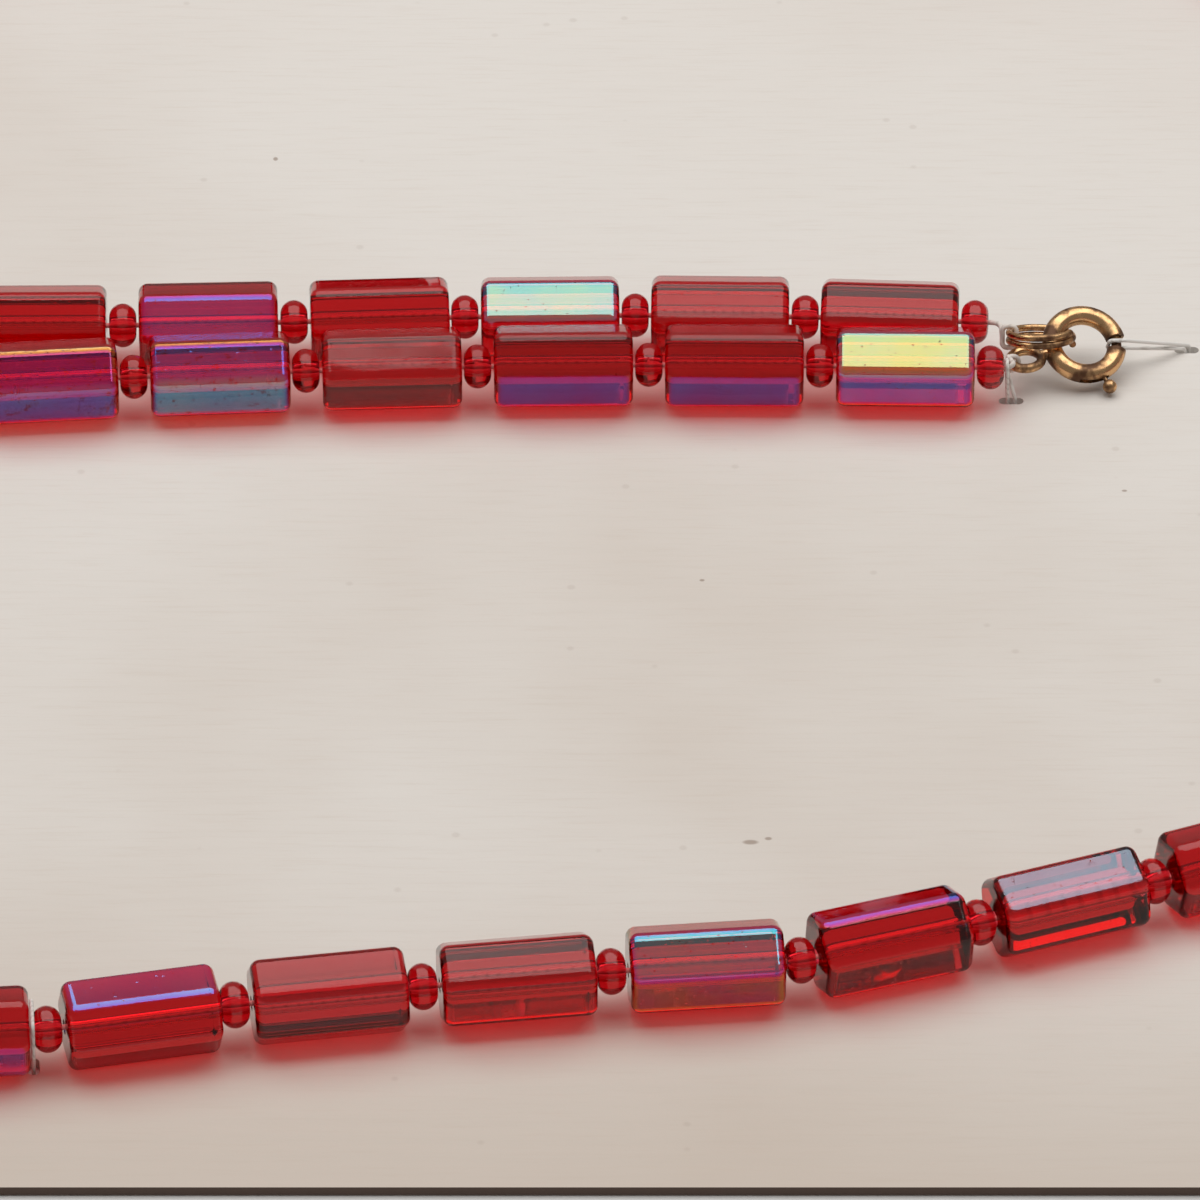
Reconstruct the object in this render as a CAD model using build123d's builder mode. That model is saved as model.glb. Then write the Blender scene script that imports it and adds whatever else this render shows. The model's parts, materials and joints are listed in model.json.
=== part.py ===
from build123d import *
import math
import os

# Beaded necklace of hexagonal glass tubes and small round spacers, closed by a bolt ring on a
# split ring, lying on the display card that it is sewn to. Millimetres, +Z up, the origin in the
# middle of the card's underside. +X runs along the rows towards the clasp, +Y to the card's back.

# --- glass tubes and spacers
TUBE_FLATS = 6.7  # across two opposite flats
TUBE_LENGTH_CLASP = 12.15  # the tubes beside the clasp
TUBE_LENGTH_MIDDLE = 12.8  # the tubes round the middle of the strand
TUBES_GROWING = 20  # tubes from the clasp to the full length
TUBE_EDGE_RADIUS = 1.05
TUBE_END_RADIUS = 0.85
TUBE_BORE = 1.3
SPACER_DIAMETER = 3.9
SPACER_THICKNESS = 2.4
SPACER_FLAT = 1.5  # the flat round each end of the spacer's hole
SPACER_BORE = 1.2
BEAD_GAP = 0.22  # between a tube's end and the spacer beside it

# --- thread and stitches
THREAD = 0.45
THREAD_BEND = 0.8  # radius of the thread's bend in each spacer
STITCH = 0.35
STITCH_BEND = 0.3
STITCH_GAP = 0.3  # between a stitch's two legs in its slit
LOOP_PLAY = 0.08  # between a tied thread and the metal that it goes round

# --- card
CARD_THICKNESS = 0.8
CARD_MARGIN_FRONT = 11.0
CARD_MARGIN = 16.0
CARD_CORNER = 1.5
SLIT_LENGTH = 2.2
SLIT_WIDTH = 1.0
REST_GAP = 0.12  # under a tube that stands on its edge

# --- clasp
RING_RADIUS = 2.9  # the bolt ring's centre line
RING_TUBE = 1.7
RING_WALL = 0.25
RING_GAP_START = -3.0  # the gap's lower end, degrees from the ring's right side
RING_GAP_END = 21.0
RING_TILT = 27.0  # how far the back of the ring is raised
RING_SLOPE = 9.0  # how far its right side is lowered
RING_HEIGHT = 3.0  # of the ring's middle over the card
BOLT_PLAY = 0.15  # between the sliding bolt and the ring's bore
BOLT_TIP = 27.0  # where the closed bolt ends, degrees
BOLT_TAIL = -115.0
KNOB_ANGLE = -57.0
KNOB_REACH = 4.6  # of the knob's middle from the ring's middle
KNOB_DIAMETER = 1.25
STEM = 0.4
SLOT_PLAY = 0.1
BOLT_TRAVEL = 30.0  # degrees from closed to open
EYELET_ANGLE = 204.0
EYELET_WIRE = 0.84
EYELET_RADIUS = 1.4
EYELET_TWIST = 30.0
TIE_ANGLE = 72.0  # where the thread leaves its loop on the eyelet, degrees up from outwards
SPLIT_WIRE = 0.62
SPLIT_PLAY = 0.06  # between the split ring's two turns
SPLIT_RADIUS = 2.8
SPLIT_TILT = -21.5  # the front of the split ring is raised
SPLIT_HEIGHT = 3.4
SPLIT_TURNS = 1.93
SPLIT_START = -90.0  # where its wire begins, degrees round from the back
TIE_LEAD = 1.125  # how far past the last spacer the thread stays straight
TIE_OFFSET = 0.1125  # how far outside the middle of the loop's wire the thread ends
EYELET_REACH = 5.6  # of the eyelet's middle from the ring's middle
NECK = 1.0  # the soldered neck between the ring and its eyelet

# --- how the strand lies: the heading of every tube, walking from the clasp, degrees from +X
MIDDLE_ROW = [179, 179.5, 181, 182.5, 183.5, 185]
LEFT_TURN = [190, 210, 230, 249, 267, 285, 304, 323, 344]
NEAR_ROW = [4, 12, 9, 7.5, 5.5, 19, 21, 23]
RIGHT_TURN_TUBES = 10
RIGHT_TURN_END = 140
BACK_BOW_TUBES = 9
REAR_ROW = [177, 179, 181, 183, 182, 180.5]
REAR_TURN_TUBES = 6

# --- how each tube is rolled: a flat's angle from straight up, towards the front
MIDDLE_ROLLS = [34, 41, 39, 36, 37, 38]
NEAR_ROLLS = [46, 3, 15, 27, 34, 38, 20, 45]
REAR_ROLLS = [31, 36, 32, 41, 45, 38]
TURN_ROLLS = [33, 24, 38, 29, 35, 41, 27, 31, 36]

# --- which tubes past the near row are pieces of their own
RIGHT_TURN_SINGLE = 3
BACK_BOW_FIRST = 5

MIDDLE_START = Vector(34.3, 29.5)  # the middle row's last spacer before the clasp
REAR_START_BACK = 1.2  # how much further from the clasp the rear row's last spacer is
ROWS_APART = 1.889  # from the middle row to the rear row, in tube reaches
RING_MIDDLE = Vector(42.7, 34.2)
SPLIT_MIDDLE = Vector(38.9, 34.8)
CLASP_SLIT = Vector(51.95, 37.65)
EYELET_SLIT = Vector(36.2, 29.8)

# --- worked out from the above
TUBE_CORNERS = TUBE_FLATS / math.cos(math.pi / 6)
TUBE_REACH = TUBE_CORNERS / 2 - TUBE_EDGE_RADIUS * (1 / math.cos(math.pi / 6) - 1)
AXIS_HEIGHT = CARD_THICKNESS + REST_GAP + TUBE_REACH
REAR_START = MIDDLE_START + Vector(-REAR_START_BACK, ROWS_APART * TUBE_REACH)
RING_BORE = RING_TUBE - 2 * RING_WALL
BOLT = RING_BORE - 2 * BOLT_PLAY
EYELET_INNER = EYELET_REACH - EYELET_RADIUS


def along(angle, length=1.0):
    """A level vector of the given length at the given heading."""
    return Vector(length * math.cos(math.radians(angle)), length * math.sin(math.radians(angle)))


def tube_length(steps):
    """The length of the tube that lies the given number of tubes from the clasp."""
    share = min(steps / TUBES_GROWING, 1)
    return TUBE_LENGTH_CLASP + share * (TUBE_LENGTH_MIDDLE - TUBE_LENGTH_CLASP)


def pitch(steps):
    """From the middle of one spacer to the next, past that tube."""
    return tube_length(steps) + SPACER_THICKNESS + 2 * BEAD_GAP


def turned(start, end, tubes):
    """The headings of a turn between two rows, the same kink at each spacer."""
    return [start + (end - start) * (k + 1) / (tubes + 1) for k in range(tubes)]


def walked(point, headings, steps=0):
    """The spacers' middles on a walk along the headings."""
    points = [point]
    for k, heading in enumerate(headings):
        point = point + along(heading, pitch(steps + k))
        points.append(point)
    return points


def bowed(start, end, tubes):
    """The spacers' middles on an even bow that takes up the strand's length between two points."""
    step = pitch(TUBES_GROWING)
    span = (end - start).length / step
    low = 1e-6
    high = 2 * math.pi / tubes
    for _ in range(60):
        kink = (low + high) / 2
        if math.sin(tubes * kink / 2) / math.sin(kink / 2) > span:
            low = kink
        else:
            high = kink
    straight = math.degrees(math.atan2(end.Y - start.Y, end.X - start.X))
    first = straight - math.degrees(kink) * (tubes - 1) / 2
    headings = [first + k * math.degrees(kink) for k in range(tubes)]
    points = [start]
    for heading in headings[:-1]:
        points.append(points[-1] + along(heading, step))
    return points + [end]


# The strand's spacers in order, from the clasp along the middle row and round to the rear row.
right_turn_kink = (RIGHT_TURN_END - NEAR_ROW[-1]) / RIGHT_TURN_TUBES
right_turn = [NEAR_ROW[-1] + right_turn_kink * (k + 1) for k in range(RIGHT_TURN_TUBES)]
walk_out = walked(MIDDLE_START, MIDDLE_ROW + LEFT_TURN + NEAR_ROW + right_turn)
walk_back = walked(REAR_START, REAR_ROW + turned(REAR_ROW[-1], 0, REAR_TURN_TUBES))[::-1]
flat_strand = walk_out + bowed(walk_out[-1], walk_back[0], BACK_BOW_TUBES)[1:] + walk_back[1:]

# The card's outline follows the strand, and the strand is moved to put the card on the origin.
reach = TUBE_REACH
low_x = min(p.X for p in flat_strand) - reach - CARD_MARGIN
high_x = max(p.X for p in flat_strand) + reach + CARD_MARGIN
low_y = min(p.Y for p in flat_strand) - reach - CARD_MARGIN_FRONT
high_y = max(p.Y for p in flat_strand) + reach + CARD_MARGIN
card_middle = Vector((low_x + high_x) / 2, (low_y + high_y) / 2)
card_length = high_x - low_x
card_depth = high_y - low_y
strand = [p - card_middle + Vector(0, 0, AXIS_HEIGHT) for p in flat_strand]

# Each stretch of the strand: its name, its first tube and how many tubes it has.
first_left = len(MIDDLE_ROW)
first_near = first_left + len(LEFT_TURN)
first_right = first_near + len(NEAR_ROW)
first_joined = first_right + RIGHT_TURN_SINGLE
first_bow = first_right + RIGHT_TURN_TUBES
first_rear_turn = first_bow + BACK_BOW_TUBES
first_rear = first_rear_turn + REAR_TURN_TUBES
tubes = first_rear + len(REAR_ROW)

# Rolls are given towards the front, and a row that is walked leftwards has its front on the left.
rolls = [-r for r in MIDDLE_ROLLS] + TURN_ROLLS + NEAR_ROLLS
rolls += [TURN_ROLLS[k % len(TURN_ROLLS)] for k in range(first_rear - len(rolls))]
rolls += REAR_ROLLS[::-1]


def steps_from_clasp(tube):
    """How many tubes lie between this one and the clasp, on the shorter way for its stretch."""
    if tube < first_bow:
        return tube
    if tube < first_rear_turn:
        return TUBES_GROWING
    return tubes - 1 - tube


def across(point, direction):
    """The plane through a point across a direction, its x pointing up."""
    return Plane(origin=point, x_dir=(0, 0, 1), z_dir=direction)


def tube_part(tube, bore):
    """One hexagonal glass tube between two spacers, with its hole or solid."""
    start = strand[tube]
    end = strand[tube + 1]
    middle = (start + end) / 2
    cut = across(middle, end - start)
    length = tube_length(steps_from_clasp(tube))
    with BuildPart() as glass:
        with BuildSketch(cut) as outline:
            RegularPolygon(TUBE_FLATS / 2, 6, major_radius=False, rotation=rolls[tube] - 30)
            fillet(outline.vertices(), TUBE_EDGE_RADIUS)
        extrude(amount=length / 2, both=True)
        ends = glass.faces().filter_by(Axis(middle, end - start))
        fillet(ends.edges(), TUBE_END_RADIUS)
        if bore:
            with BuildSketch(cut):
                Circle(TUBE_BORE / 2)
            extrude(amount=length, both=True, mode=Mode.SUBTRACT)
    return glass.part


def spacer_part(index, bore):
    """One round spacer on the thread, square to the bend of its two neighbours."""
    before = strand[max(index - 1, 0)]
    after = strand[min(index + 1, tubes)]
    here = strand[index]
    axis = after - before
    half = SPACER_THICKNESS / 2
    flat = SPACER_FLAT / 2
    inner = bore / 2
    with BuildPart() as glass:
        with BuildSketch(Plane(origin=here, x_dir=axis, z_dir=axis.cross(Vector(0, 0, 1)))):
            with BuildLine():
                Polyline((-half, flat), (-half, inner), (half, inner), (half, flat))
                ThreePointArc((half, flat), (0, SPACER_DIAMETER / 2), (-half, flat))
            make_face()
        revolve(axis=Axis(here, axis))
    return glass.part


def thread_part(points, diameter, bend, closed=False):
    """A round thread along straight runs with rounded bends, open or as a closed loop."""
    with BuildPart() as cord:
        with BuildLine() as route:
            FilletPolyline(*points, radius=bend, close=closed)
        with BuildSketch(Plane(origin=route.line @ 0, z_dir=route.line % 0)):
            Circle(diameter / 2)
        sweep(path=route.line)
    return cord.part


def save(shapes, label):
    """Put what makes up a piece together, name it and write it."""
    with BuildPart() as piece:
        add(shapes)
    piece.part.label = label
    export_step(piece.part, f"parts/{label}.step")


def save_tubes(label, first, count, backwards=False):
    """Write tubes that are pieces of their own, numbered from their end nearer the clasp."""
    for k in range(count):
        tube = first + (count - 1 - k if backwards else k)
        save([tube_part(tube, bore=True)], f"{label}_{k + 1}")


def save_spacers(label, first, last):
    """Write the spacers of one row, which lie apart in one node."""
    save([spacer_part(index, SPACER_BORE) for index in range(first, last + 1)], label)


def save_joined(label, first, count, last_spacer):
    """Write a hidden stretch as one solid: its tubes, its spacers and the thread that joins them."""
    last = first + count
    route = [(strand[first] + strand[first + 1]) / 2] + strand[first + 1 : last]
    route += [strand[last] if last_spacer else (strand[last - 1] + strand[last]) / 2]
    pieces = [thread_part(route, THREAD, THREAD_BEND)]
    pieces += [tube_part(tube, bore=False) for tube in range(first, last)]
    pieces += [spacer_part(index, bore=0) for index in range(first + 1, last + int(last_spacer))]
    save(pieces, label)


os.makedirs("parts", exist_ok=True)

# The strand, row by row.
save_tubes("bead_middle", 0, len(MIDDLE_ROW))
save_tubes("bead_left_turn", first_left, len(LEFT_TURN))
save_tubes("bead_near", first_near, len(NEAR_ROW))
save_tubes("bead_right_turn", first_right, RIGHT_TURN_SINGLE)
save_tubes("bead_rear_turn", first_rear_turn, REAR_TURN_TUBES, backwards=True)
save_tubes("bead_rear", first_rear, len(REAR_ROW), backwards=True)
save_spacers("spacers_middle", 0, first_left)
save_spacers("spacers_left_turn", first_left + 1, first_near)
save_spacers("spacers_near", first_near + 1, first_right)
save_spacers("spacers_right_turn", first_right + 1, first_joined)
save_spacers("spacers_rear_turn", first_rear_turn, first_rear)
save_spacers("spacers_rear", first_rear + 1, tubes)
save_joined("beads_right_turn", first_joined, first_bow - first_joined, last_spacer=True)
save_joined("beads_back_right", first_bow, BACK_BOW_FIRST, last_spacer=True)
save_joined("beads_back_left", first_bow + BACK_BOW_FIRST, BACK_BOW_TUBES - BACK_BOW_FIRST, last_spacer=False)

# The thread runs from the eyelet through the middle and near rows, and again through the rear row.
tilt = math.radians(RING_TILT)
slope = math.radians(RING_SLOPE)
lift = Vector(0, 0, CARD_THICKNESS)
ring_middle = RING_MIDDLE - card_middle + lift + Vector(0, 0, RING_HEIGHT)
ring_right = Vector(math.cos(slope), 0, -math.sin(slope))
ring_normal = ring_right.cross(Vector(0, math.cos(tilt), math.sin(tilt))).normalized()
ring_back = ring_normal.cross(ring_right)
ring_axis = Axis(ring_middle, ring_normal)


def ring_way(angle):
    """The direction from the ring's middle at an angle from its right side."""
    return ring_right * math.cos(math.radians(angle)) + ring_back * math.sin(math.radians(angle))


def ring_section(angle):
    """The plane across the ring's tube at an angle, its x pointing outwards."""
    way = ring_way(angle)
    return Plane(ring_middle + way * RING_RADIUS, x_dir=way, z_dir=ring_normal.cross(way))


eyelet_way = ring_way(EYELET_ANGLE)
eyelet_middle = ring_middle + eyelet_way * EYELET_REACH
twist = math.radians(EYELET_TWIST)
eyelet_normal = ring_normal * math.cos(twist) + eyelet_way.cross(ring_normal) * math.sin(twist)
split_tilt = math.radians(SPLIT_TILT)
split_middle = SPLIT_MIDDLE - card_middle + lift + Vector(0, 0, SPLIT_HEIGHT)
split_normal = Vector(0, -math.sin(split_tilt), math.cos(split_tilt))
split_pitch = SPLIT_WIRE + SPLIT_PLAY

# The bolt ring: a bent tube with a gap and a slot, its eyelet soldered on by a short neck.
with BuildPart() as bolt_ring:
    with BuildSketch(ring_section(RING_GAP_END)):
        Circle(RING_TUBE / 2)
    revolve(axis=ring_axis, revolution_arc=360 - (RING_GAP_END - RING_GAP_START))
    with BuildSketch(Plane(ring_middle + eyelet_way * RING_RADIUS, z_dir=eyelet_way)):
        Circle(NECK / 2)
    extrude(amount=EYELET_INNER - RING_RADIUS)
    with Locations(Plane(eyelet_middle, x_dir=eyelet_way, z_dir=eyelet_normal)):
        Torus(EYELET_RADIUS, EYELET_WIRE / 2)
    with BuildSketch(ring_section(RING_GAP_END)):
        Circle(RING_BORE / 2)
    revolve(
        axis=ring_axis,
        revolution_arc=360 - (RING_GAP_END - RING_GAP_START),
        mode=Mode.SUBTRACT,
    )
    slot_width = STEM + 2 * SLOT_PLAY
    slot_end = math.degrees(slot_width / 2 / RING_RADIUS)
    with BuildSketch(ring_section(KNOB_ANGLE - BOLT_TRAVEL - slot_end)):
        with Locations((RING_TUBE / 2, 0)):
            Rectangle(RING_TUBE, slot_width)
    revolve(axis=ring_axis, revolution_arc=BOLT_TRAVEL + 2 * slot_end, mode=Mode.SUBTRACT)
bolt_ring.part.label = "bolt_ring"
export_step(bolt_ring.part, "parts/bolt_ring.step")

# The bolt slides inside the ring's tube and carries the knob that opens it.
with BuildPart() as ring_bolt:
    with BuildSketch(ring_section(BOLT_TAIL)):
        Circle(BOLT / 2)
    revolve(axis=ring_axis, revolution_arc=BOLT_TIP - BOLT_TAIL)
    knob_way = ring_way(KNOB_ANGLE)
    with BuildSketch(Plane(ring_middle + knob_way * RING_RADIUS, z_dir=knob_way)):
        Circle(STEM / 2)
    extrude(amount=KNOB_REACH - RING_RADIUS)
    with Locations(ring_middle + knob_way * KNOB_REACH):
        Sphere(KNOB_DIAMETER / 2)
ring_bolt.part.label = "ring_bolt"
export_step(ring_bolt.part, "parts/ring_bolt.step")

# The split ring: two turns of wire, linked through the bolt ring.
split_height = split_pitch * SPLIT_TURNS
with BuildPart() as split_ring:
    with BuildLine() as coil:
        wire = Helix(
            split_pitch,
            split_height,
            SPLIT_RADIUS,
            center=split_middle - split_normal * split_height / 2,
            direction=split_normal,
            mode=Mode.PRIVATE,
        )
        add(wire.rotate(Axis(split_middle, split_normal), SPLIT_START))
    with BuildSketch(Plane(coil.line @ 0, z_dir=coil.line % 0)):
        Circle(SPLIT_WIRE / 2)
    sweep(path=coil.line, is_frenet=True)
split_ring.part.label = "split_ring"
export_step(split_ring.part, "parts/split_ring.step")

# The strand's thread, tied round the eyelet's outer end and round the split ring's left side.
eyelet_end = eyelet_middle + eyelet_way * EYELET_RADIUS
eyelet_along = eyelet_normal.cross(eyelet_way)
tie_radius = EYELET_WIRE / 2 + LOOP_PLAY + THREAD / 2
with BuildPart() as eyelet_tie:
    with Locations(Plane(eyelet_end, x_dir=eyelet_way, z_dir=eyelet_along)):
        Torus(tie_radius, THREAD / 2)
leave = SPACER_THICKNESS / 2 + TIE_LEAD
middle_exit = strand[0] + along(MIDDLE_ROW[0] + 180, leave)
tie_angle = math.radians(TIE_ANGLE)
tie_way = eyelet_way * math.cos(tie_angle) + eyelet_normal * math.sin(tie_angle)
tie_end = eyelet_end + tie_way * (tie_radius + TIE_OFFSET)
near_route = [tie_end, middle_exit] + strand[1 : first_joined + 1]
save([eyelet_tie.part, thread_part(near_route, THREAD, THREAD_BEND)], "thread_near")

split_end = split_middle - Vector(SPLIT_RADIUS, 0, 0)
tie_half = Vector(SPLIT_WIRE / 2 + LOOP_PLAY + THREAD / 2, 0, 0)
tie_rise = split_normal * (SPLIT_WIRE + split_pitch + 2 * LOOP_PLAY + THREAD) * 0.5
split_tie = [
    split_end - tie_half,
    split_end - tie_half + tie_rise,
    split_end + tie_half + tie_rise,
    split_end + tie_half - tie_rise,
    split_end - tie_half - tie_rise,
]
rear_exit = strand[tubes] + along(REAR_ROW[0] + 180, leave)
rear_route = strand[first_rear_turn:tubes] + [rear_exit, split_end - tie_half]
save(
    [
        thread_part(split_tie[1:], THREAD, THREAD, closed=True),
        thread_part(rear_route, THREAD, THREAD_BEND),
    ],
    "thread_rear",
)

# The stitches that hold the necklace on the card, each down through a slit.
clasp_slit = CLASP_SLIT - card_middle + lift
eyelet_slit = EYELET_SLIT - card_middle + lift
near_spacer = strand[first_near + 1]
near_slit = Vector(near_spacer.X, near_spacer.Y, CARD_THICKNESS) - along(
    NEAR_ROW[0], SPACER_THICKNESS / 2
)
leg = STITCH / 2 + STITCH_GAP / 2
sink = Vector(0, 0, -CARD_THICKNESS * 0.6)
rise = Vector(0, 0, STITCH)


def legs(slit, way):
    """The two points where a stitch meets its slit, on either side of the slit's middle."""
    return slit + way * leg, slit - way * leg


# Round the bolt in the ring's gap.
gap_angle = (RING_GAP_START + RING_GAP_END) / 2
gap_way = ring_way(gap_angle)
gap_middle = ring_middle + gap_way * RING_RADIUS
hug = BOLT / 2 + LOOP_PLAY + STITCH / 2
over, under = legs(clasp_slit, Vector(0.6, 0.8, 0))
clasp_stitch = [
    over + sink,
    over + rise,
    gap_middle + gap_way * hug + ring_normal * hug,
    gap_middle - gap_way * hug + ring_normal * hug,
    gap_middle - gap_way * hug - ring_normal * hug,
    gap_middle + gap_way * hug - ring_normal * hug,
    under + rise,
    under + sink,
]
save([thread_part(clasp_stitch, STITCH, STITCH_BEND)], "stitch_clasp")

# Round the thread between the last spacer and the eyelet.
hug = THREAD / 2 + 2 * LOOP_PLAY + STITCH / 2
beside = strand[0] + along(MIDDLE_ROW[0] + 180, SPACER_THICKNESS / 2 + LOOP_PLAY + STITCH / 2)
front = Vector(0, -hug, 0)
top = Vector(0, 0, hug)
over, under = legs(eyelet_slit, Vector(-1, 0, 0))
eyelet_stitch = [
    over + sink,
    over + rise,
    beside + front - top,
    beside + front + top,
    beside - front + top,
    beside - front - top,
    under + rise,
    under + sink,
]
save([thread_part(eyelet_stitch, STITCH, STITCH_BEND)], "stitch_eyelet")

# Round the strand between a tube and its spacer, where the near row begins.
groove = near_spacer - along(NEAR_ROW[0], SPACER_THICKNESS / 2)
hug = (SPACER_DIAMETER - STITCH) / 2
front = along(NEAR_ROW[0] - 90, hug)
top = Vector(0, 0, hug)
over, under = legs(near_slit, along(NEAR_ROW[0] - 90))
near_stitch = [
    over + sink,
    over + rise,
    groove + front - top * 0.8,
    groove + front + top,
    groove - front + top,
    groove - front - top * 0.8,
    under + rise,
    under + sink,
]
save([thread_part(near_stitch, STITCH, STITCH_BEND)], "stitch_near")

# The card, with its three slits.
slit_angles = [(clasp_slit, 0), (eyelet_slit, 0), (near_slit, NEAR_ROW[0] - 90)]
with BuildPart() as card:
    with BuildSketch() as card_outline:
        Rectangle(card_length, card_depth)
        fillet(card_outline.vertices(), CARD_CORNER)
    extrude(amount=CARD_THICKNESS)
    with BuildSketch():
        for slit, angle in slit_angles:
            with Locations(Location((slit.X, slit.Y, 0), (0, 0, angle))):
                SlotOverall(SLIT_LENGTH, SLIT_WIDTH)
    extrude(amount=CARD_THICKNESS, mode=Mode.SUBTRACT)
card.part.label = "card"
export_step(card.part, "parts/card.step")
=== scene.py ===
"""Finishes, light and camera for a ruby glass necklace sewn to an ivory display card.

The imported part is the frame. Every CAD node keeps its shape and place and takes a finish here.
"""

import json
import math

import bpy
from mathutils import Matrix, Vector


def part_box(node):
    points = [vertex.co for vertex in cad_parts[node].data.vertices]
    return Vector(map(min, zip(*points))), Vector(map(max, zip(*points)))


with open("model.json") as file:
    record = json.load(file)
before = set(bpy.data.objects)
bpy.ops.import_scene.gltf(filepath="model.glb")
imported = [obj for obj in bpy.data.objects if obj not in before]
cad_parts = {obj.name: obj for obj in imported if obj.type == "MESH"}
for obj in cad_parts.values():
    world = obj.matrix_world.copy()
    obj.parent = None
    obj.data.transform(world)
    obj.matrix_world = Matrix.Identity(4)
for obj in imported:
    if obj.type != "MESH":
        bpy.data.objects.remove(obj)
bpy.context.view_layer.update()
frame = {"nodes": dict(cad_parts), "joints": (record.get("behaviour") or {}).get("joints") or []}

bl_info = {
    "name": "Beaded necklace on a card",
    "version": (1, 0, 0),
    "blender": (4, 5, 0),
    "location": "View3D > Sidebar > Necklace",
    "description": "Finishes, light and camera for a ruby glass necklace sewn to a card",
    "category": "Object",
}

# The bolt ring's middle is the clasp joint's place. The camera and the card's marks are placed
# from it.
RING_MIDDLE = Vector(frame["joints"][0]["pos_m"])
CARD_LOW, CARD_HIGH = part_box("card")

# --- glass
GLASS_IOR = 1.50
GLASS_WHITE = (1.0, 0.93, 0.93, 1.0)  # the surface's own tint, the depth of colour is in the volume
LAMP_TINT = (0.72, 0.09, 0.10, 1.0)  # what the lamps' light is left with behind a bead
SPACER_DEPTH = 1.8  # the spacers' colour is deeper than the tubes', times

# --- card
CARD_FLECK = (0.33, 0.25, 0.20, 1.0)
CARD_SIDE_SHADE = (0.110, 0.072, 0.055, 1.0)  # painted shade on its cut sides
FRONT_SHADE_FROM = 0.050  # from its front edge to where the painted shade towards the front begins
FRONT_SHADE_PAST = 0.004  # how far in front of the edge the painted shade would be full

# --- stage
FLOOR_HALF = 3.0  # half the floor's side
FLOOR_GAP = 0.0001  # between the floor and the card's underside
SOFTBOX_SIZE = (1.7, 1.2)
SOFTBOX_COLOR = (1.0, 0.985, 0.965)
SOFTBOX_FRONT = 73.0  # degrees up from the card to the softbox's front edge
SENSOR_WIDTH = 36.0
AIM = Vector((-0.0427, -0.0342, -0.0030))  # where the camera looks, from the ring's middle

# Film on a tube: the side it was sprayed from (degrees up from the front, about the tube), how
# far round it reaches (cosine at its edge), its thickness there in nanometres, and how worn it
# is.
FILMS = {
    "bead_rear_3": (60, 0.66, 160, 0.25),
    "bead_rear_5": (47, 0.66, 128, 0.35),
    "bead_middle_1": (54, 0.16, 173, 0.35),
    "bead_middle_2": (-20, 0.80, 126, 0.20),
    "bead_middle_3": (-20, 0.76, 125, 0.20),
    "bead_middle_5": (10, 0.16, 150, 0.55),
    "bead_middle_6": (10, 0.16, 133, 0.60),
    "bead_near_1": (-26, 0.72, 128, 0.20),
    "bead_near_2": (92, 0.74, 139, 0.30),
    "bead_near_5": (58, 0.14, 152, 0.40),
    "bead_near_6": (112, 0.62, 134, 0.30),
    "bead_near_7": (72, 0.90, 24, 0.35),
    "bead_left_turn_2": (60, 0.50, 154, 0.30),
    "bead_left_turn_5": (100, 0.20, 172, 0.30),
    "bead_left_turn_8": (-20, 0.50, 132, 0.30),
    "bead_right_turn_2": (85, 0.50, 140, 0.35),
    "bead_rear_turn_2": (70, 0.20, 166, 0.30),
    "bead_rear_turn_5": (110, 0.50, 152, 0.30),
}
# Marks on the card: place from the ring's middle and half sizes in metres.
MARKS = (
    (-0.0721, 0.0338, 0.00022, 0.00030),
    (-0.0301, -0.0687, 0.00065, 0.00032),
    (-0.0286, -0.0682, 0.00030, 0.00022),
    (-0.0339, -0.0313, 0.00022, 0.00018),
    (0.0030, -0.0180, 0.00024, 0.00016),
)


class GlassSettings(bpy.types.PropertyGroup):
    """The ruby glass and the film on it."""

    color: bpy.props.FloatVectorProperty(
        name="Ruby", description="What a length of the glass lets through", subtype="COLOR",
        size=3, min=0.0, max=1.0, default=(0.905, 0.02, 0.14),
    )
    depth: bpy.props.FloatProperty(
        name="Depth of colour", description="Absorption of the glass, for each metre",
        default=880.0, min=0.0,
    )
    roughness: bpy.props.FloatProperty(
        name="Polish", description="Roughness of the moulded surface",
        default=0.02, min=0.0, max=1.0,
    )
    film_index: bpy.props.FloatProperty(
        name="Film index", description="Refractive index of the iridescent film",
        default=2.4, min=1.0, max=3.0,
    )


class CardSettings(bpy.types.PropertyGroup):
    """The display card."""

    color: bpy.props.FloatVectorProperty(
        name="Card", description="Colour of the card", subtype="COLOR",
        size=3, min=0.0, max=1.0, default=(0.775, 0.737, 0.695),
    )
    # This colour is also the painted shade that darkens the card towards its front-left edge.
    shade: bpy.props.FloatVectorProperty(
        name="Yellowed", description="Colour where the card is handled or aged", subtype="COLOR",
        size=3, min=0.0, max=1.0, default=(0.560, 0.455, 0.370),
    )
    rib: bpy.props.FloatProperty(
        name="Rib pitch", description="Distance between the card's ribs",
        subtype="DISTANCE", unit="LENGTH", default=0.0023, min=0.0001,
    )


class ClaspSettings(bpy.types.PropertyGroup):
    """The gilt clasp."""

    gilt: bpy.props.FloatVectorProperty(
        name="Gilt", description="Colour of the bright gilt", subtype="COLOR",
        size=3, min=0.0, max=1.0, default=(0.74, 0.45, 0.22),
    )
    tarnish: bpy.props.FloatVectorProperty(
        name="Tarnish", description="Colour of the tarnish in its hollows", subtype="COLOR",
        size=3, min=0.0, max=1.0, default=(0.110, 0.048, 0.020),
    )
    amount: bpy.props.FloatProperty(
        name="Tarnish amount", description="Share of the metal that is dark",
        subtype="FACTOR", default=0.50, min=0.0, max=1.0,
    )


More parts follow.
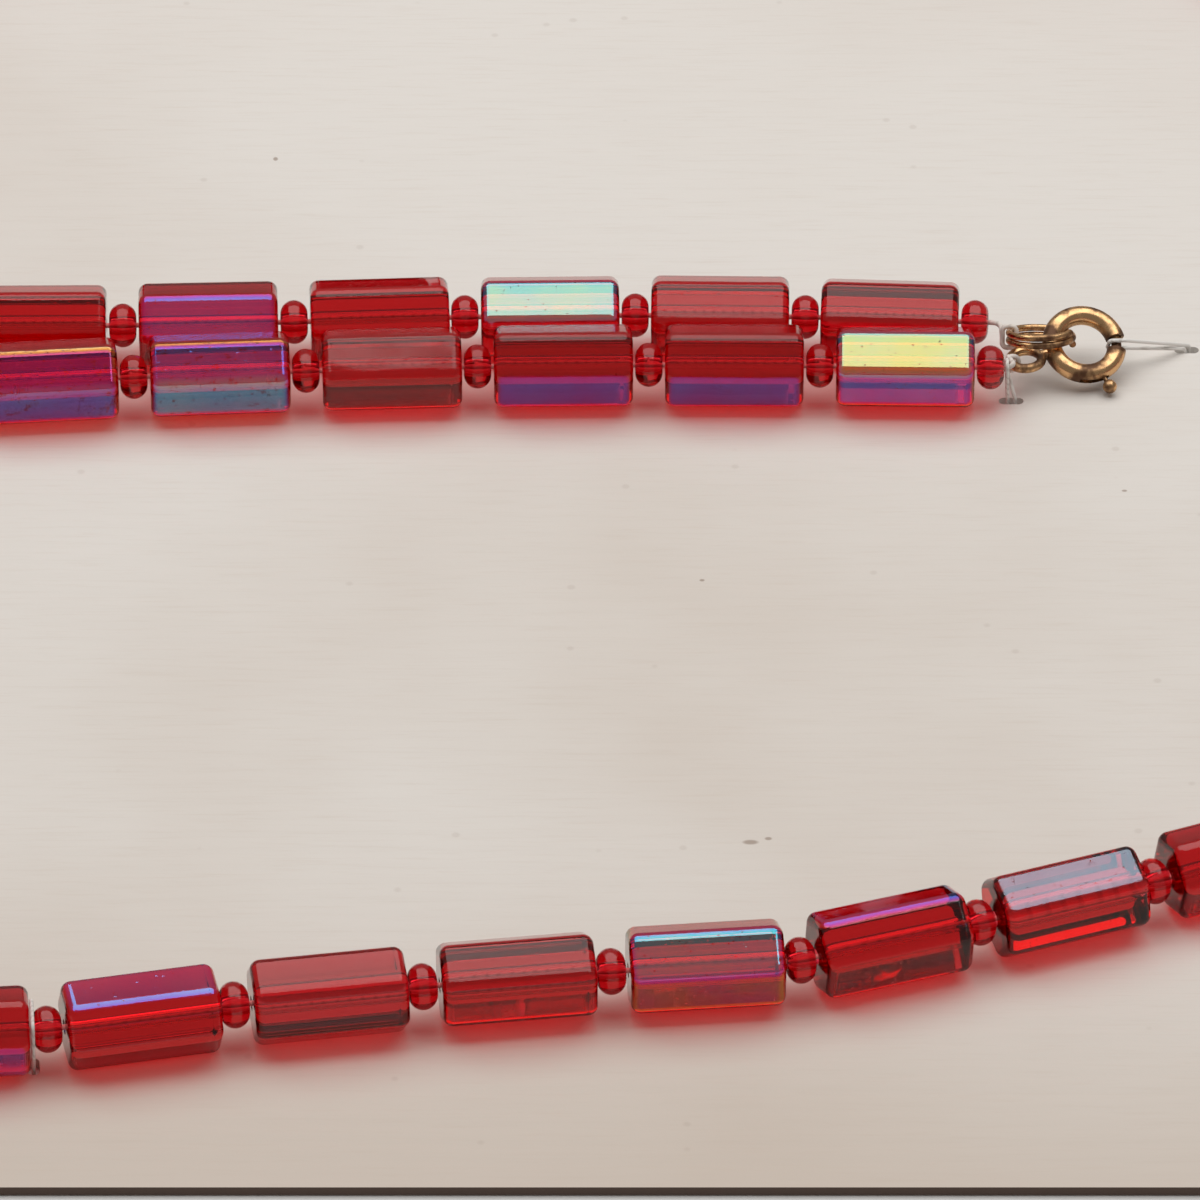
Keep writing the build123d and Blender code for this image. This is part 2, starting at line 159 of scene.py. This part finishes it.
class ThreadSettings(bpy.types.PropertyGroup):
    """The stringing thread and the stitches."""

    cotton: bpy.props.FloatVectorProperty(
        name="Thread", description="Colour of the stringing thread", subtype="COLOR",
        size=3, min=0.0, max=1.0, default=(0.80, 0.74, 0.68),
    )
    stitch: bpy.props.FloatVectorProperty(
        name="Stitches", description="Colour of the sewing thread", subtype="COLOR",
        size=3, min=0.0, max=1.0, default=(0.86, 0.84, 0.80),
    )
    twist: bpy.props.FloatProperty(
        name="Twist", description="Length of one turn of the thread",
        subtype="DISTANCE", unit="LENGTH", default=0.00055, min=0.0001,
    )


class StageSettings(bpy.types.PropertyGroup):
    """Floor, light and camera."""

    elevation: bpy.props.FloatProperty(
        name="Camera height angle", description="Angle of the view above the floor",
        subtype="ANGLE", unit="ROTATION", default=math.radians(36.0),
    )
    distance: bpy.props.FloatProperty(
        name="Camera distance", description="From the camera to the card",
        subtype="DISTANCE", unit="LENGTH", default=1.036, min=0.1,
    )
    lens: bpy.props.FloatProperty(
        name="Lens", description="Focal length on a 36 mm sensor, in millimetres",
        default=361.2, min=10.0,
    )
    box_height: bpy.props.FloatProperty(
        name="Softbox height", description="Height of the overhead softbox",
        subtype="DISTANCE", unit="LENGTH", default=1.0, min=0.1,
    )
    box_power: bpy.props.FloatProperty(
        name="Softbox power", description="Power of the overhead softbox, in watts",
        default=12.8, min=0.0,
    )
    room: bpy.props.FloatVectorProperty(
        name="Room", description="Colour of the dim room round the table", subtype="COLOR",
        size=3, min=0.0, max=1.0, default=(0.235, 0.230, 0.225),
    )
    floor: bpy.props.FloatVectorProperty(
        name="Floor", description="Colour of the floor", subtype="COLOR",
        size=3, min=0.0, max=1.0, default=(0.86, 0.85, 0.845),
    )


def node(tree, kind, place, **inputs):
    """A new node at a place in the tree, with the given input values."""
    made = tree.nodes.new(kind)
    made.location = place
    for name, value in inputs.items():
        made.inputs[name].default_value = value
    return made


def math_node(tree, operation, place, first=None, second=None):
    """A Math node whose inputs are numbers or sockets."""
    made = tree.nodes.new("ShaderNodeMath")
    made.operation = operation
    made.location = place
    for k, value in enumerate((first, second)):
        if value is None:
            continue
        if isinstance(value, bpy.types.NodeSocket):
            tree.links.new(value, made.inputs[k])
        else:
            made.inputs[k].default_value = value
    return made.outputs[0]


def blend_colors(tree, place, share, first, second):
    """A Mix node of two colours, each a value or a socket."""
    made = tree.nodes.new("ShaderNodeMix")
    made.data_type = "RGBA"
    made.location = place
    pairs = ((made.inputs[0], share), (made.inputs[6], first), (made.inputs[7], second))
    for socket, value in pairs:
        if isinstance(value, bpy.types.NodeSocket):
            tree.links.new(value, socket)
        else:
            socket.default_value = value
    return made.outputs[2]


def ramp(tree, place, value, low, high):
    """A smooth step of a value from 0 at low to 1 at high."""
    made = tree.nodes.new("ShaderNodeMapRange")
    made.interpolation_type = "SMOOTHSTEP"
    made.location = place
    tree.links.new(value, made.inputs["Value"])
    made.inputs["From Min"].default_value = low
    made.inputs["From Max"].default_value = high
    return made.outputs["Result"]


def group(name, sockets_in, sockets_out):
    """A new shader node group with named sockets: (name, socket type, default)."""
    tree = bpy.data.node_groups.new(name, "ShaderNodeTree")
    for label, kind, value in sockets_in:
        made = tree.interface.new_socket(name=label, in_out="INPUT", socket_type=kind)
        if value is not None:
            made.default_value = value
    for label, kind in sockets_out:
        tree.interface.new_socket(name=label, in_out="OUTPUT", socket_type=kind)
    start = node(tree, "NodeGroupInput", (-900, 0))
    end = node(tree, "NodeGroupOutput", (900, 0))
    return tree, start, end


def handling_marks():
    """Group: smudges as a change of roughness, and fine scratches and pits as a height."""
    tree, start, end = group(
        "handling_marks",
        [("Vector", "NodeSocketVector", None), ("Polish", "NodeSocketFloat", 0.05),
         ("Smudge", "NodeSocketFloat", 0.08), ("Size", "NodeSocketFloat", 300.0)],
        [("Roughness", "NodeSocketFloat"), ("Height", "NodeSocketFloat")],
    )
    smudge = node(tree, "ShaderNodeTexNoise", (-500, 200), Detail=5.0, Roughness=0.6)
    tree.links.new(start.outputs["Vector"], smudge.inputs["Vector"])
    tree.links.new(start.outputs["Size"], smudge.inputs["Scale"])
    soft = ramp(tree, (-300, 200), smudge.outputs["Fac"], 0.48, 0.72)
    spread = math_node(tree, "MULTIPLY", (-100, 200), soft, start.outputs["Smudge"])
    rough = math_node(tree, "ADD", (100, 200), spread, start.outputs["Polish"])
    tree.links.new(rough, end.inputs["Roughness"])
    long_way = node(tree, "ShaderNodeMapping", (-700, -200))
    long_way.inputs["Scale"].default_value = (0.25, 1.0, 1.0)
    tree.links.new(start.outputs["Vector"], long_way.inputs["Vector"])
    wave = node(tree, "ShaderNodeTexNoise", (-500, -100), Scale=240.0, Detail=2.0, Roughness=0.5)
    tree.links.new(long_way.outputs["Vector"], wave.inputs["Vector"])
    pit = node(tree, "ShaderNodeTexVoronoi", (-500, -350), Scale=900.0, Randomness=1.0)
    tree.links.new(start.outputs["Vector"], pit.inputs["Vector"])
    deep = ramp(tree, (-300, -350), pit.outputs["Distance"], 0.05, 0.16)
    height = math_node(tree, "MULTIPLY_ADD", (100, -200), deep, 0.35)
    tree.links.new(wave.outputs["Fac"], height.node.inputs[2])
    tree.links.new(height, end.inputs["Height"])
    return tree


def dust_specks():
    """Group: a mask of tiny specks of dust, thicker in patches."""
    tree, start, end = group(
        "dust_specks",
        [("Vector", "NodeSocketVector", None), ("Scale", "NodeSocketFloat", 900.0),
         ("Amount", "NodeSocketFloat", 0.5)],
        [("Mask", "NodeSocketFloat")],
    )
    cells = node(tree, "ShaderNodeTexVoronoi", (-500, 100), Randomness=1.0)
    tree.links.new(start.outputs["Vector"], cells.inputs["Vector"])
    tree.links.new(start.outputs["Scale"], cells.inputs["Scale"])
    near = ramp(tree, (-300, 100), cells.outputs["Distance"], 0.20, 0.08)
    parts = node(tree, "ShaderNodeSeparateColor", (-300, -100))
    tree.links.new(cells.outputs["Color"], parts.inputs["Color"])
    some = math_node(tree, "LESS_THAN", (-100, -100), parts.outputs["Red"], start.outputs["Amount"])
    tree.links.new(math_node(tree, "MULTIPLY", (300, 0), near, some), end.inputs["Mask"])
    return tree


def add_group(tree, name, place, **inputs):
    """One of the named groups, placed in a material with its own values."""
    made = tree.nodes.new("ShaderNodeGroup")
    made.node_tree = bpy.data.node_groups[name]
    made.location = place
    for label, value in inputs.items():
        made.inputs[label].default_value = value
    return made


def new_material(name):
    """An empty material, its tree and its output node."""
    material = bpy.data.materials.new(name)
    material.use_nodes = True
    tree = material.node_tree
    tree.nodes.clear()
    return material, tree, node(tree, "ShaderNodeOutputMaterial", (1200, 0))


def film_on(tree, coordinates, side, reach, thickness, worn):
    """Where the film lies and how thick it is.

    It was sprayed from one side: it covers what faces that side, with a wavy edge, less the pits
    and scuffs worn through it, and it thins as the surface turns away.
    """
    angle = math.radians(side)
    toward = tree.nodes.new("ShaderNodeVectorMath")
    toward.operation = "DOT_PRODUCT"
    toward.location = (-700, 500)
    tree.links.new(coordinates.outputs["Normal"], toward.inputs[0])
    toward.inputs[1].default_value = (0.0, -math.cos(angle), math.sin(angle))
    waver = node(tree, "ShaderNodeTexNoise", (-900, 350), Scale=230.0, Detail=2.0, Roughness=0.5)
    tree.links.new(coordinates.outputs["Object"], waver.inputs["Vector"])
    shift = math_node(tree, "MULTIPLY_ADD", (-500, 450), waver.outputs["Fac"], 0.16)
    tree.links.new(toward.outputs["Value"], shift.node.inputs[2])
    covered = ramp(tree, (-300, 450), shift, reach + 0.06, reach + 0.12)
    pits = node(tree, "ShaderNodeTexVoronoi", (-700, 250), Scale=1500.0, Randomness=1.0)
    tree.links.new(coordinates.outputs["Object"], pits.inputs["Vector"])
    whole = ramp(tree, (-300, 250), pits.outputs["Distance"], 0.18 * worn, 0.18 * worn + 0.10)
    scuffs = node(tree, "ShaderNodeTexNoise", (-700, 50), Scale=1300.0, Detail=4.0, Roughness=0.7)
    tree.links.new(coordinates.outputs["Object"], scuffs.inputs["Vector"])
    kept = ramp(tree, (-300, 50), scuffs.outputs["Fac"], 0.84 - 0.30 * worn, 0.76 - 0.30 * worn)
    held = math_node(tree, "MULTIPLY", (-100, 350), covered, whole)
    share = math_node(tree, "MULTIPLY", (50, 300), held, kept)
    thinned = math_node(tree, "MULTIPLY_ADD", (-300, 650), toward.outputs["Value"], 0.55)
    thinned.node.inputs[2].default_value = 0.40
    uneven = math_node(tree, "MULTIPLY_ADD", (-100, 650), waver.outputs["Fac"], 0.10)
    tree.links.new(thinned, uneven.node.inputs[2])
    return share, math_node(tree, "MULTIPLY", (50, 650), uneven, thickness)


def ruby_glass(name, film=None, depth=1.0):
    """Ruby glass, with or without an iridescent film on one side.

    Lamps shine through it onto the card.
    """
    glass = bpy.context.scene.necklace_glass
    material, tree, out = new_material(name)
    coordinates = node(tree, "ShaderNodeTexCoord", (-1100, 0))
    marks = add_group(
        tree, "handling_marks", (-500, -200), Polish=glass.roughness, Smudge=0.05, Size=330.0,
    )
    tree.links.new(coordinates.outputs["Object"], marks.inputs["Vector"])
    bump = node(tree, "ShaderNodeBump", (-250, -300), Strength=0.12, Distance=0.00006)
    tree.links.new(marks.outputs["Height"], bump.inputs["Height"])

    def body(place):
        made = node(tree, "ShaderNodeBsdfPrincipled", place)
        made.inputs["Base Color"].default_value = GLASS_WHITE
        made.inputs["Transmission Weight"].default_value = 1.0
        made.inputs["IOR"].default_value = GLASS_IOR
        tree.links.new(marks.outputs["Roughness"], made.inputs["Roughness"])
        tree.links.new(bump.outputs["Normal"], made.inputs["Normal"])
        return made

    surface = body((200, 0)).outputs["BSDF"]
    if film is not None:
        side, reach, thickness, worn = film
        coated = body((200, -600))
        share, nanometres = film_on(tree, coordinates, side, reach, thickness, worn)
        tree.links.new(nanometres, coated.inputs["Thin Film Thickness"])
        coated.inputs["Thin Film IOR"].default_value = glass.film_index
        mix = node(tree, "ShaderNodeMixShader", (600, 0))
        tree.links.new(share, mix.inputs["Fac"])
        tree.links.new(surface, mix.inputs[1])
        tree.links.new(coated.outputs["BSDF"], mix.inputs[2])
        surface = mix.outputs["Shader"]
    light = node(tree, "ShaderNodeLightPath", (600, 500))
    clear = node(tree, "ShaderNodeBsdfTransparent", (600, -250))
    clear.inputs["Color"].default_value = LAMP_TINT
    open_to_lamps = node(tree, "ShaderNodeMixShader", (900, 0))
    tree.links.new(light.outputs["Is Shadow Ray"], open_to_lamps.inputs["Fac"])
    tree.links.new(surface, open_to_lamps.inputs[1])
    tree.links.new(clear.outputs["BSDF"], open_to_lamps.inputs[2])
    tree.links.new(open_to_lamps.outputs["Shader"], out.inputs["Surface"])
    volume = node(tree, "ShaderNodeVolumeAbsorption", (900, -300))
    volume.inputs["Color"].default_value = (*glass.color, 1.0)
    volume.inputs["Density"].default_value = glass.depth * depth
    tree.links.new(volume.outputs["Volume"], out.inputs["Volume"])
    return material


def ribbed_card():
    """Uncoated card: faint uneven ribs across it, soft yellowing, flecks of fibre and dust, painted
    shade towards its front-left edge and on its cut sides.
    """
    card = bpy.context.scene.necklace_card
    material, tree, out = new_material("ivory_card")
    coordinates = node(tree, "ShaderNodeTexCoord", (-1300, 0))
    surface = node(tree, "ShaderNodeBsdfPrincipled", (800, 0), Roughness=0.72)
    surface.inputs["Specular IOR Level"].default_value = 0.35
    cloud = node(tree, "ShaderNodeTexNoise", (-900, 300), Scale=9.0, Detail=4.0, Roughness=0.55)
    tree.links.new(coordinates.outputs["Object"], cloud.inputs["Vector"])
    patches = ramp(tree, (-700, 300), cloud.outputs["Fac"], 0.40, 0.80)
    aged = math_node(tree, "MULTIPLY", (-500, 300), patches, 0.5)
    base = blend_colors(tree, (-300, 300), aged, (*card.color, 1.0), (*card.shade, 1.0))
    along = node(tree, "ShaderNodeMapping", (-1100, -100))
    along.inputs["Scale"].default_value = (0.06, 1.0, 1.0)
    tree.links.new(coordinates.outputs["Object"], along.inputs["Vector"])
    fibre = node(tree, "ShaderNodeTexNoise", (-900, 0), Scale=2400.0, Detail=3.0, Roughness=0.7)
    tree.links.new(along.outputs["Vector"], fibre.inputs["Vector"])
    fibres = ramp(tree, (-700, 0), fibre.outputs["Fac"], 0.45, 0.85)
    streaks = math_node(tree, "MULTIPLY", (-500, 0), fibres, 0.20)
    base = blend_colors(tree, (-100, 200), streaks, base, (*card.shade, 1.0))
    place = node(tree, "ShaderNodeSeparateXYZ", (-1100, 500))
    tree.links.new(coordinates.outputs["Object"], place.inputs["Vector"])
    skewed = math_node(tree, "MULTIPLY_ADD", (-900, 500), place.outputs["X"], 0.12)
    tree.links.new(place.outputs["Y"], skewed.node.inputs[2])
    # Painted shade: the card darkens towards its front-left edge.
    front_shade_ramp = ramp(tree, (-700, 500), skewed, CARD_LOW.y + FRONT_SHADE_FROM, CARD_LOW.y - FRONT_SHADE_PAST)
    painted_front_shade = math_node(tree, "MULTIPLY", (-500, 500), front_shade_ramp, 0.62)
    base = blend_colors(tree, (0, 300), painted_front_shade, base, (*card.shade, 1.0))
    specks = add_group(tree, "dust_specks", (-500, -200), Scale=420.0, Amount=0.05)
    tree.links.new(coordinates.outputs["Object"], specks.inputs["Vector"])
    flecks = math_node(tree, "MULTIPLY", (-300, -200), specks.outputs["Mask"], 0.16)
    for k, (right, back, half_width, half_depth) in enumerate(MARKS):
        row = -900 - 300 * k
        near = node(tree, "ShaderNodeMapping", (-1100, row))
        scale = Vector((1 / half_width, 1 / half_depth, 0.0))
        middle = RING_MIDDLE + Vector((right, back, 0.0))
        near.inputs["Scale"].default_value = scale
        near.inputs["Location"].default_value = -middle * scale
        tree.links.new(coordinates.outputs["Object"], near.inputs["Vector"])
        far = tree.nodes.new("ShaderNodeVectorMath")
        far.operation = "LENGTH"
        far.location = (-900, row)
        tree.links.new(near.outputs["Vector"], far.inputs[0])
        inside = ramp(tree, (-700, row), far.outputs["Value"], 1.3, 0.6)
        dark = math_node(tree, "MULTIPLY", (-500, row), inside, 0.75)
        flecks = math_node(tree, "MAXIMUM", (-300, row), flecks, dark)
    base = blend_colors(tree, (100, 200), flecks, base, CARD_FLECK)
    # Painted shade on the card's cut sides: faces that are not flat, at the card's outer rim, take
    # a dark colour.
    upright = node(tree, "ShaderNodeSeparateXYZ", (0, 600))
    tree.links.new(coordinates.outputs["Normal"], upright.inputs["Vector"])
    flat = math_node(tree, "ABSOLUTE", (200, 600), upright.outputs["Z"])
    sides = ramp(tree, (350, 600), flat, 0.75, 0.35)
    across = math_node(tree, "DIVIDE", (-200, 750), place.outputs["X"], CARD_HIGH.x)
    along_y = math_node(tree, "DIVIDE", (-200, 900), place.outputs["Y"], CARD_HIGH.y)
    sideways = math_node(tree, "ABSOLUTE", (0, 750), across)
    endways = math_node(tree, "ABSOLUTE", (0, 900), along_y)
    outwards = math_node(tree, "MAXIMUM", (200, 800), sideways, endways)
    rim = ramp(tree, (350, 800), outwards, 0.985, 0.990)
    cut_side_shade = math_node(tree, "MULTIPLY", (500, 600), sides, rim)
    base = blend_colors(tree, (600, 300), cut_side_shade, base, CARD_SIDE_SHADE)
    tree.links.new(base, surface.inputs["Base Color"])
    bend = node(tree, "ShaderNodeTexNoise", (-1100, -500), Scale=14.0, Detail=2.0)
    tree.links.new(coordinates.outputs["Object"], bend.inputs["Vector"])
    turn = math_node(tree, "MULTIPLY", (-900, -600), place.outputs["Y"], math.tau / card.rib)
    wander = math_node(tree, "MULTIPLY_ADD", (-700, -600), bend.outputs["Fac"], 9.0)
    tree.links.new(turn, wander.node.inputs[2])
    rib = math_node(tree, "SINE", (-500, -600), wander)
    grain = node(tree, "ShaderNodeTexNoise", (-500, -800), Scale=1500.0, Detail=4.0, Roughness=0.7)
    tree.links.new(coordinates.outputs["Object"], grain.inputs["Vector"])
    height = math_node(tree, "MULTIPLY_ADD", (-200, -600), grain.outputs["Fac"], 1.6)
    tree.links.new(rib, height.node.inputs[2])
    bump = node(tree, "ShaderNodeBump", (200, -500), Strength=0.35, Distance=0.00003)
    tree.links.new(height, bump.inputs["Height"])
    tree.links.new(bump.outputs["Normal"], surface.inputs["Normal"])
    tree.links.new(surface.outputs["BSDF"], out.inputs["Surface"])
    return material


def worn_gilt():
    """Gilt brass, bright on its rubbed places and brown-black in blotches."""
    clasp = bpy.context.scene.necklace_clasp
    material, tree, out = new_material("worn_gilt")
    coordinates = node(tree, "ShaderNodeTexCoord", (-1300, 0))
    surface = node(tree, "ShaderNodeBsdfPrincipled", (800, 0))
    blotch = node(tree, "ShaderNodeTexNoise", (-900, 300), Scale=420.0, Detail=4.0, Roughness=0.55)
    tree.links.new(coordinates.outputs["Object"], blotch.inputs["Vector"])
    edge = 0.62 - 0.30 * clasp.amount
    dark = ramp(tree, (-700, 300), blotch.outputs["Fac"], edge - 0.05, edge + 0.13)
    base = blend_colors(tree, (-300, 300), dark, (*clasp.gilt, 1.0), (*clasp.tarnish, 1.0))
    tree.links.new(base, surface.inputs["Base Color"])
    marks = add_group(tree, "handling_marks", (-700, -200), Polish=0.20, Smudge=0.18, Size=900.0)
    tree.links.new(coordinates.outputs["Object"], marks.inputs["Vector"])
    rough = math_node(tree, "MULTIPLY_ADD", (-300, 0), dark, 0.28)
    tree.links.new(marks.outputs["Roughness"], rough.node.inputs[2])
    tree.links.new(rough, surface.inputs["Roughness"])
    bright = math_node(tree, "MULTIPLY_ADD", (-100, 100), dark, -0.45)
    bright.node.inputs[2].default_value = 1.0
    tree.links.new(bright, surface.inputs["Metallic"])
    bump = node(tree, "ShaderNodeBump", (200, -400), Strength=0.35, Distance=0.00004)
    tree.links.new(marks.outputs["Height"], bump.inputs["Height"])
    tree.links.new(bump.outputs["Normal"], surface.inputs["Normal"])
    tree.links.new(surface.outputs["BSDF"], out.inputs["Surface"])
    return material


def twisted_thread(name, color, twist):
    """Twisted thread: slanting plies as a height, painted shade in their creases, with fuzz and
    grime.
    """
    material, tree, out = new_material(name)
    coordinates = node(tree, "ShaderNodeTexCoord", (-1300, 0))
    surface = node(tree, "ShaderNodeBsdfPrincipled", (800, 0), Roughness=0.85)
    surface.inputs["Sheen Weight"].default_value = 0.3
    slant = node(tree, "ShaderNodeMapping", (-1100, 0))
    slant.inputs["Rotation"].default_value = (0.0, 0.6, 0.7)
    tree.links.new(coordinates.outputs["Object"], slant.inputs["Vector"])
    plies = node(
        tree, "ShaderNodeTexWave", (-900, 0), Scale=0.314 / twist, Distortion=1.2, Detail=1.0,
    )
    plies.bands_direction = "X"
    tree.links.new(slant.outputs["Vector"], plies.inputs["Vector"])
    grime = node(tree, "ShaderNodeTexNoise", (-900, 300), Scale=260.0, Detail=4.0)
    tree.links.new(coordinates.outputs["Object"], grime.inputs["Vector"])
    # Painted shade in the creases between the plies, added to the real grime patches.
    crease_shade = ramp(tree, (-600, 100), plies.outputs["Fac"], 0.45, 0.0)
    patches = ramp(tree, (-700, 300), grime.outputs["Fac"], 0.45, 0.75)
    soiled = math_node(tree, "MULTIPLY", (-500, 300), patches, 0.35)
    share = math_node(tree, "MULTIPLY_ADD", (-300, 200), crease_shade, 0.45)
    tree.links.new(soiled, share.node.inputs[2])
    grime_and_crease_shade = (0.55 * color[0], 0.95 * (0.55 * color[1]), 0.9 * (0.55 * color[2]), 1.0)
    base = blend_colors(tree, (-100, 200), share, (*color, 1.0), grime_and_crease_shade)
    tree.links.new(base, surface.inputs["Base Color"])
    bump = node(tree, "ShaderNodeBump", (200, -300), Strength=0.7, Distance=0.00006)
    tree.links.new(plies.outputs["Fac"], bump.inputs["Height"])
    tree.links.new(bump.outputs["Normal"], surface.inputs["Normal"])
    tree.links.new(surface.outputs["BSDF"], out.inputs["Surface"])
    return material


def plain_floor():
    """Smooth pale floor with a trace of mottling."""
    stage = bpy.context.scene.necklace_stage
    material, tree, out = new_material("pale_floor")
    coordinates = node(tree, "ShaderNodeTexCoord", (-700, 0))
    surface = node(tree, "ShaderNodeBsdfPrincipled", (300, 0), Roughness=0.55)
    mottle = node(tree, "ShaderNodeTexNoise", (-500, 0), Scale=6.0, Detail=3.0)
    tree.links.new(coordinates.outputs["Object"], mottle.inputs["Vector"])
    shade = tuple(0.94 * c for c in stage.floor)
    base = blend_colors(tree, (0, 0), mottle.outputs["Fac"], (*stage.floor, 1.0), (*shade, 1.0))
    tree.links.new(base, surface.inputs["Base Color"])
    tree.links.new(surface.outputs["BSDF"], out.inputs["Surface"])
    return material


def dress(prefixes, material):
    """Gives the material to every CAD node whose name starts with one of the prefixes."""
    found = [o for n, o in sorted(frame["nodes"].items()) if n.startswith(prefixes)]
    if not found:
        raise RuntimeError(f"no CAD node starts with {prefixes}")
    for piece in found:
        for slot in piece.material_slots:
            slot.link = "DATA"
            slot.material = material


class NECKLACE_OT_beads(bpy.types.Operator):
    """Ruby glass on every tube and spacer, with the film on the tubes that have one"""

    bl_idname = "necklace.beads"
    bl_label = "Glass tubes and spacers"

    def execute(self, context):
        plain = ruby_glass("ruby_glass_plain")
        dress(("bead_", "beads_"), plain)
        dress(("spacers_",), ruby_glass("ruby_glass_spacers", depth=SPACER_DEPTH))
        for name, film in FILMS.items():
            coated = ruby_glass("ruby_glass_" + name, film)
            for slot in frame["nodes"][name].material_slots:
                slot.material = coated
        return {"FINISHED"}


class NECKLACE_OT_card(bpy.types.Operator):
    """Ribbed ivory card"""

    bl_idname = "necklace.card"
    bl_label = "Display card"

    def execute(self, context):
        dress(("card",), ribbed_card())
        return {"FINISHED"}


class NECKLACE_OT_clasp(bpy.types.Operator):
    """Worn gilt on the bolt ring, its bolt and the split ring"""

    bl_idname = "necklace.clasp"
    bl_label = "Clasp"

    def execute(self, context):
        dress(("bolt_ring", "ring_bolt", "split_ring"), worn_gilt())
        return {"FINISHED"}


class NECKLACE_OT_threads(bpy.types.Operator):
    """Twisted thread in the beads and finer thread in the stitches"""

    bl_idname = "necklace.threads"
    bl_label = "Thread and stitches"

    def execute(self, context):
        thread = context.scene.necklace_thread
        cotton = twisted_thread("cotton_thread", tuple(thread.cotton), thread.twist)
        dress(("thread_",), cotton)
        fine = twisted_thread("sewing_thread", tuple(thread.stitch), 0.8 * thread.twist)
        dress(("stitch_",), fine)
        return {"FINISHED"}


class NECKLACE_OT_stage(bpy.types.Operator):
    """Floor, softbox, dim room and camera"""

    bl_idname = "necklace.stage"
    bl_label = "Stage"

    def execute(self, context):
        stage = context.scene.necklace_stage
        scene = context.scene
        mesh = bpy.data.meshes.new("floor")
        below = CARD_LOW.z - FLOOR_GAP
        ways = ((-1, -1), (1, -1), (1, 1), (-1, 1))
        corners = [(FLOOR_HALF * x, FLOOR_HALF * y, below) for x, y in ways]
        mesh.from_pydata(corners, [], [(0, 1, 2, 3)])
        floor = bpy.data.objects.new("floor", mesh)
        floor.data.materials.append(plain_floor())
        scene.collection.objects.link(floor)

        softbox = bpy.data.lights.new("softbox", "AREA")
        softbox.shape = "RECTANGLE"
        softbox.size, softbox.size_y = SOFTBOX_SIZE
        softbox.energy = stage.box_power
        softbox.color = SOFTBOX_COLOR
        lamp = bpy.data.objects.new("softbox", softbox)
        front = -stage.box_height / math.tan(math.radians(SOFTBOX_FRONT))
        lamp.location = (0.0, front + softbox.size_y / 2, stage.box_height)
        scene.collection.objects.link(lamp)

        world = bpy.data.worlds.new("dim_room")
        world.use_nodes = True
        backdrop = world.node_tree.nodes["Background"]
        backdrop.inputs["Color"].default_value = (*stage.room, 1.0)
        backdrop.inputs["Strength"].default_value = 1.0
        scene.world = world

        view = bpy.data.cameras.new("camera")
        view.sensor_width = SENSOR_WIDTH
        view.lens = stage.lens
        view.clip_start, view.clip_end = 0.05, 50.0
        camera = bpy.data.objects.new("camera", view)
        outwards = Vector((0.0, -math.cos(stage.elevation), math.sin(stage.elevation)))
        camera.location = RING_MIDDLE + AIM + outwards * stage.distance
        camera.rotation_euler = (-outwards).to_track_quat("-Z", "Y").to_euler()
        scene.collection.objects.link(camera)
        scene.camera = camera
        scene.view_settings.view_transform = "Standard"
        return {"FINISHED"}


class NECKLACE_PT_panel(bpy.types.Panel):
    """The necklace's pieces, their sizes and colours"""

    bl_label = "Necklace"
    bl_idname = "NECKLACE_PT_panel"
    bl_space_type = "VIEW_3D"
    bl_region_type = "UI"
    bl_category = "Necklace"

    def draw(self, context):
        layout = self.layout
        for settings, operator in PARTS:
            group_of = getattr(context.scene, settings)
            box = layout.box()
            for label in group_of.bl_rna.properties.keys():
                if label not in ("rna_type", "name"):
                    box.prop(group_of, label)
            box.operator(operator)


PARTS = (
    ("necklace_stage", "necklace.stage"),
    ("necklace_glass", "necklace.beads"),
    ("necklace_card", "necklace.card"),
    ("necklace_clasp", "necklace.clasp"),
    ("necklace_thread", "necklace.threads"),
)
SETTINGS = {
    "necklace_stage": StageSettings,
    "necklace_glass": GlassSettings,
    "necklace_card": CardSettings,
    "necklace_clasp": ClaspSettings,
    "necklace_thread": ThreadSettings,
}
CLASSES = (
    *SETTINGS.values(),
    NECKLACE_OT_stage,
    NECKLACE_OT_beads,
    NECKLACE_OT_card,
    NECKLACE_OT_clasp,
    NECKLACE_OT_threads,
    NECKLACE_PT_panel,
)


def register():
    """Registers the classes and hangs their settings on the scene."""
    for kind in CLASSES:
        bpy.utils.register_class(kind)
    for name, kind in SETTINGS.items():
        setattr(bpy.types.Scene, name, bpy.props.PointerProperty(type=kind))


def unregister():
    """Takes the settings and classes away again."""
    for name in SETTINGS:
        delattr(bpy.types.Scene, name)
    for kind in reversed(CLASSES):
        bpy.utils.unregister_class(kind)


def main():
    """Makes the looks in order."""
    register()
    handling_marks()
    dust_specks()
    bpy.ops.necklace.stage()
    bpy.ops.necklace.beads()
    bpy.ops.necklace.card()
    bpy.ops.necklace.clasp()
    bpy.ops.necklace.threads()


if __name__ == "__main__":
    main()
